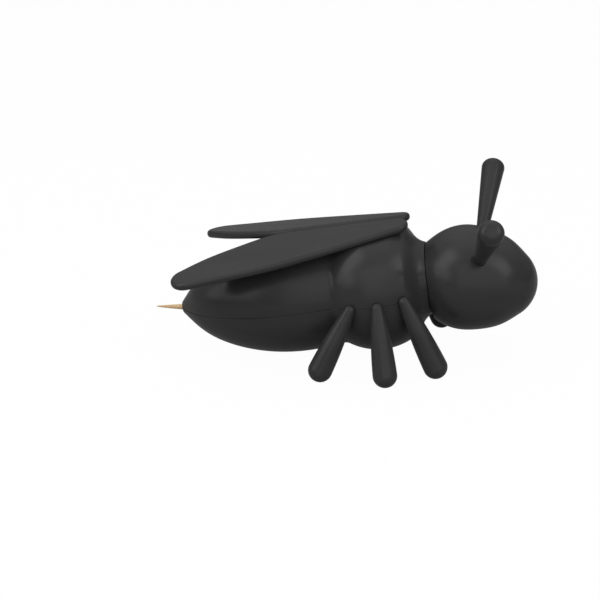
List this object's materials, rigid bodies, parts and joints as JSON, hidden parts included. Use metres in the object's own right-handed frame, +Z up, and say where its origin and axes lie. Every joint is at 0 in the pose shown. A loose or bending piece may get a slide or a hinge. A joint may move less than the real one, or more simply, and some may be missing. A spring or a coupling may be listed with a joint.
{
  "type": "toothpick dispenser",
  "caption": "Winged-insect toothpick dispenser: hollow two-shell body, pull-off head for refilling, swivelling wings, and a toothpick standing out of the tail as a sting.",
  "frame": {"origin": "on the table, under the middle of the dispenser's overall length and width", "axes": "+X from the tail to the head, +Y to the insect's left, +Z up"},
  "size_m": [0.1002, 0.0588, 0.0448],
  "materials": {
    "black_plastic": "satin",
    "bamboo": "bare",
    "screw_steel": "satin"
  },
  "bodies": {
    "body": {"upper_shell": "black_plastic", "lower_shell": "black_plastic", "leg_hind_left": "black_plastic", "leg_hind_right": "black_plastic", "leg_middle_left": "black_plastic", "leg_middle_right": "black_plastic", "leg_front_left": "black_plastic", "leg_front_right": "black_plastic", "shell_screws": "screw_steel", "toothpick_01": "bamboo", "toothpick_02": "bamboo", "toothpick_03": "bamboo", "toothpick_04": "bamboo", "toothpick_05": "bamboo", "toothpick_06": "bamboo", "toothpick_07": "bamboo", "toothpick_08": "bamboo"},
    "head": {"head_shell": "black_plastic", "head_plug": "black_plastic", "antenna_left": "black_plastic", "antenna_right": "black_plastic"},
    "left_wing": {"wing_left": "black_plastic"},
    "right_wing": {"wing_right": "black_plastic"},
    "sting": {"toothpick_out": "bamboo"}
  },
  "joints": [
    {"name": "head_pull", "type": "slide", "parent": "body", "child": "head", "axis": [0.9898, 0, 0.1426], "range_m": [0, 0.03]},
    {"name": "wing_left_swing", "type": "hinge", "parent": "body", "child": "left_wing", "pos_m": [0.01458, 0.00331, 0.0355], "axis": [0.141, -0.1513, -0.9784], "range_deg": [-2.2, 28]},
    {"name": "wing_right_swing", "type": "hinge", "parent": "body", "child": "right_wing", "pos_m": [0.01458, -0.00331, 0.0355], "axis": [-0.141, -0.1513, 0.9784], "range_deg": [0, 30]},
    {"name": "toothpick_draw", "type": "slide", "parent": "body", "child": "sting", "axis": [-1, 0, 0], "range_m": [-0.002, 0.06]}
  ]
}
